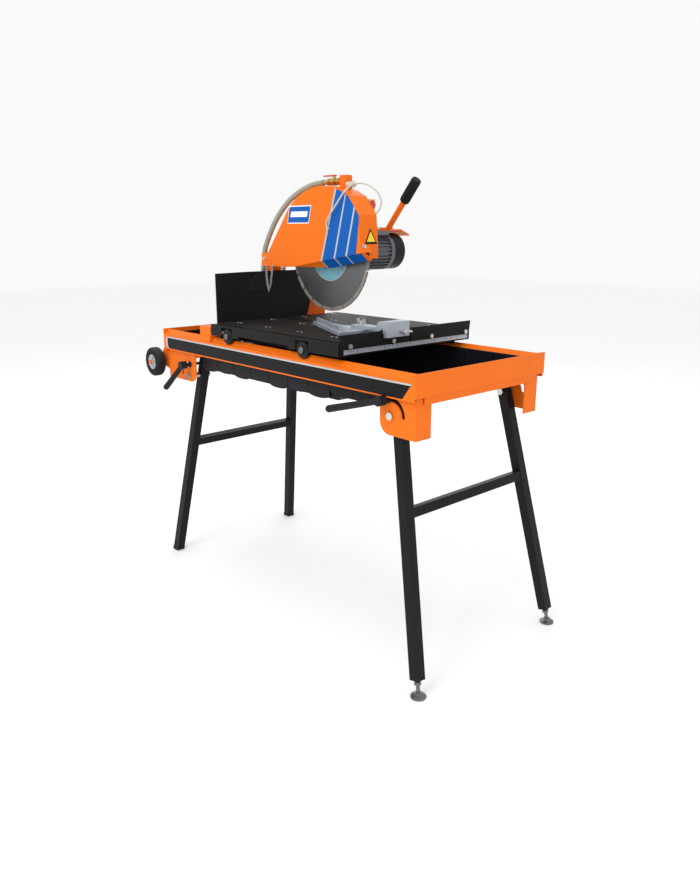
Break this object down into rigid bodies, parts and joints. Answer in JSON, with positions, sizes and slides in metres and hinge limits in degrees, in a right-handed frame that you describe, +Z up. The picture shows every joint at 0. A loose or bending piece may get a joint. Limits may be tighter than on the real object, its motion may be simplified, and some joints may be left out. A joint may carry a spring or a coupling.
{
  "type": "masonry saw",
  "caption": "Bench masonry saw with folding legs, water tank, rolling cart with fence and guide, and a tilting head with guarded diamond blade and motor.",
  "frame": {"origin": "on the floor, below the middle of the blade arbor and of the cutting line", "axes": "+X along the cutting line towards the operator's end, +Y across towards the motor side, +Z up"},
  "size_m": [1.3585, 0.6038, 1.2888],
  "materials": {
    "aluminium": "cast aluminium",
    "black_plastic": "moulded plastic",
    "brass": "brass fittings",
    "frame_orange": "orange powder coat",
    "green_plastic": "green plastic",
    "hose_clear": "translucent hose",
    "leg_black": "black powder coat",
    "mat_black": "ribbed rubber sheet",
    "plate_black": "black paint",
    "red_plastic": "red plastic",
    "rubber": "black rubber",
    "steel": "bright steel",
    "tank_black": "moulded black plastic",
    "tube_clear": "translucent thin tube",
    "tyre": "solid rubber",
    "yellow_plastic": "yellow plastic",
    "zinc": "zinc plated"
  },
  "bodies": {
    "frame": {"side_rail_near": "frame_orange", "side_rail_far": "frame_orange", "front_end_panel": "frame_orange", "rear_end_panel": "frame_orange", "leg_brackets": "frame_orange", "leg_pivot_bolts": "zinc", "water_tank": "tank_black", "transport_axle": "frame_orange", "head_stand": "frame_orange", "pivot_shaft": "steel", "splash_guard": "plate_black", "splash_flap": "rubber", "lift_spring": "steel", "water_pump": "black_plastic", "water_hose_frame": "hose_clear"},
    "front_legs": {"front_leg_frame": "leg_black"},
    "rear_legs": {"rear_leg_frame": "leg_black", "rear_leg_caps": "black_plastic"},
    "foot_near": {"levelling_foot_near": "zinc"},
    "foot_far": {"levelling_foot_far": "zinc"},
    "lever_front_near": {"clamp_lever_front_near": "black_plastic"},
    "lever_front_far": {"clamp_lever_front_far": "black_plastic"},
    "lever_rear_near": {"clamp_lever_rear_near": "black_plastic"},
    "lever_rear_far": {"clamp_lever_rear_far": "black_plastic"},
    "plug": {"drain_plug": "rubber"},
    "transport_wheel_near": {"transport_tyre_near": "tyre", "transport_hub_near": "aluminium"},
    "transport_wheel_far": {"transport_tyre_far": "tyre", "transport_hub_far": "aluminium"},
    "cart": {"cart_deck": "plate_black", "deck_mat": "mat_black", "fence_plate": "plate_black", "ruler_strip": "aluminium", "cart_fasteners": "zinc"},
    "wheel_rear_near": {"cart_wheel_rear_near": "black_plastic"},
    "wheel_rear_far": {"cart_wheel_rear_far": "black_plastic"},
    "wheel_front_near": {"cart_wheel_front_near": "black_plastic"},
    "wheel_front_far": {"cart_wheel_front_far": "black_plastic"},
    "guide": {"guide_clamp": "aluminium"},
    "guide_swing": {"guide_arm": "aluminium"},
    "clamp_screw": {"guide_clamp_screw": "zinc"},
    "pivot_screw": {"guide_pivot_screw": "zinc"},
    "head": {"head_arm": "frame_orange", "guard_cover": "frame_orange", "guard_back": "frame_orange", "handle_bar": "frame_orange", "handle_grip": "rubber", "motor_housing": "aluminium", "fan_cover": "black_plastic", "water_valve": "brass", "water_hose_head": "hose_clear", "spray_line": "tube_clear", "switch_box": "yellow_plastic", "safety_chain": "zinc"},
    "rotor": {"motor_rotor": "steel", "saw_blade": "steel", "arbor_clamp": "zinc"},
    "valve": {"valve_lever": "red_plastic"},
    "start": {"start_button": "green_plastic"},
    "stop": {"stop_button": "red_plastic"}
  },
  "joints": [
    {"name": "head_tilt", "type": "hinge", "parent": "frame", "child": "head", "pos_m": [-0.311, 0.102, 1.04], "axis": [0, 1, 0], "range_deg": [-15, 11.5], "stiffness_Nm_per_rad": 150, "springref_deg": -20.05, "deforming": ["lift_spring", "water_hose_frame"]},
    {"name": "blade_spin", "type": "hinge", "parent": "head", "child": "rotor", "pos_m": [0, 0, 1.07], "axis": [0, 1, 0], "continuous": true},
    {"name": "valve_turn", "type": "hinge", "parent": "head", "child": "valve", "pos_m": [0.027, -0.005, 1.285], "axis": [0, 0, 1], "range_deg": [0, 90]},
    {"name": "start_press", "type": "slide", "parent": "head", "child": "start", "axis": [-1, 0, 0], "range_m": [0, 0.003], "stiffness_N_per_m": 300},
    {"name": "stop_press", "type": "slide", "parent": "head", "child": "stop", "axis": [-1, 0, 0], "range_m": [0, 0.003], "stiffness_N_per_m": 300},
    {"name": "cart_slide", "type": "slide", "parent": "frame", "child": "cart", "axis": [1, 0, 0], "range_m": [0, 0.24]},
    {"name": "wheel_rear_near_spin", "type": "hinge", "parent": "cart", "child": "wheel_rear_near", "pos_m": [-0.183, -0.24, 0.82022], "axis": [0, 1, 0], "continuous": true},
    {"name": "wheel_rear_far_spin", "type": "hinge", "parent": "cart", "child": "wheel_rear_far", "pos_m": [-0.183, 0.24, 0.82022], "axis": [0, 1, 0], "continuous": true},
    {"name": "wheel_front_near_spin", "type": "hinge", "parent": "cart", "child": "wheel_front_near", "pos_m": [0.181, -0.24, 0.82022], "axis": [0, 1, 0], "continuous": true},
    {"name": "wheel_front_far_spin", "type": "hinge", "parent": "cart", "child": "wheel_front_far", "pos_m": [0.181, 0.24, 0.82022], "axis": [0, 1, 0], "continuous": true},
    {"name": "guide_slide", "type": "slide", "parent": "cart", "child": "guide", "axis": [0, 1, 0], "range_m": [-0.1, 0.01]},
    {"name": "guide_turn", "type": "hinge", "parent": "guide", "child": "guide_swing", "pos_m": [0.214, -0.07, 0.862], "axis": [0, 0, 1], "range_deg": [-6, 30]},
    {"name": "clamp_screw_turn", "type": "hinge", "parent": "guide", "child": "clamp_screw", "pos_m": [0.356, -0.043, 0.869], "axis": [1, 0, 0], "continuous": true},
    {"name": "pivot_screw_turn", "type": "hinge", "parent": "guide", "child": "pivot_screw", "pos_m": [0.214, -0.07, 0.88], "axis": [0, 0, 1], "continuous": true},
    {"name": "front_legs_fold", "type": "hinge", "parent": "frame", "child": "front_legs", "pos_m": [0.508, 0, 0.693], "axis": [0, 1, 0], "range_deg": [0, 97]},
    {"name": "rear_legs_fold", "type": "hinge", "parent": "frame", "child": "rear_legs", "pos_m": [-0.442, 0, 0.661], "axis": [0, -1, 0], "range_deg": [0, 93]},
    {"name": "lever_front_near_turn", "type": "hinge", "parent": "front_legs", "child": "lever_front_near", "pos_m": [0.49912, -0.25, 0.73405], "axis": [0, -1, 0], "range_deg": [0, 60]},
    {"name": "lever_front_far_turn", "type": "hinge", "parent": "front_legs", "child": "lever_front_far", "pos_m": [0.49912, 0.25, 0.73405], "axis": [0, -1, 0], "range_deg": [0, 60]},
    {"name": "lever_rear_near_turn", "type": "hinge", "parent": "rear_legs", "child": "lever_rear_near", "pos_m": [-0.43413, -0.25, 0.70226], "axis": [0, -1, 0], "range_deg": [0, 45]},
    {"name": "lever_rear_far_turn", "type": "hinge", "parent": "rear_legs", "child": "lever_rear_far", "pos_m": [-0.43413, 0.25, 0.70226], "axis": [0, -1, 0], "range_deg": [0, 45]},
    {"name": "foot_near_screw", "type": "slide", "parent": "front_legs", "child": "foot_near", "axis": [0.2103, -0.0983, -0.9727], "range_m": [0, 0.012]},
    {"name": "foot_far_screw", "type": "slide", "parent": "front_legs", "child": "foot_far", "axis": [0.2103, 0.0983, -0.9727], "range_m": [0, 0.012]},
    {"name": "plug_pull", "type": "slide", "parent": "frame", "child": "plug", "axis": [0, 0, -1], "range_m": [0, 0.03]},
    {"name": "transport_near_spin", "type": "hinge", "parent": "frame", "child": "transport_wheel_near", "pos_m": [-0.633, -0.265, 0.69], "axis": [0, 1, 0], "continuous": true},
    {"name": "transport_far_spin", "type": "hinge", "parent": "frame", "child": "transport_wheel_far", "pos_m": [-0.633, 0.265, 0.69], "axis": [0, 1, 0], "continuous": true}
  ],
  "couplings": [
    {"joint": "wheel_rear_near_spin", "follows": "cart_slide", "rad_per_m": 81.97},
    {"joint": "wheel_rear_far_spin", "follows": "cart_slide", "rad_per_m": 81.97},
    {"joint": "wheel_front_near_spin", "follows": "cart_slide", "rad_per_m": 81.97},
    {"joint": "wheel_front_far_spin", "follows": "cart_slide", "rad_per_m": 81.97}
  ]
}
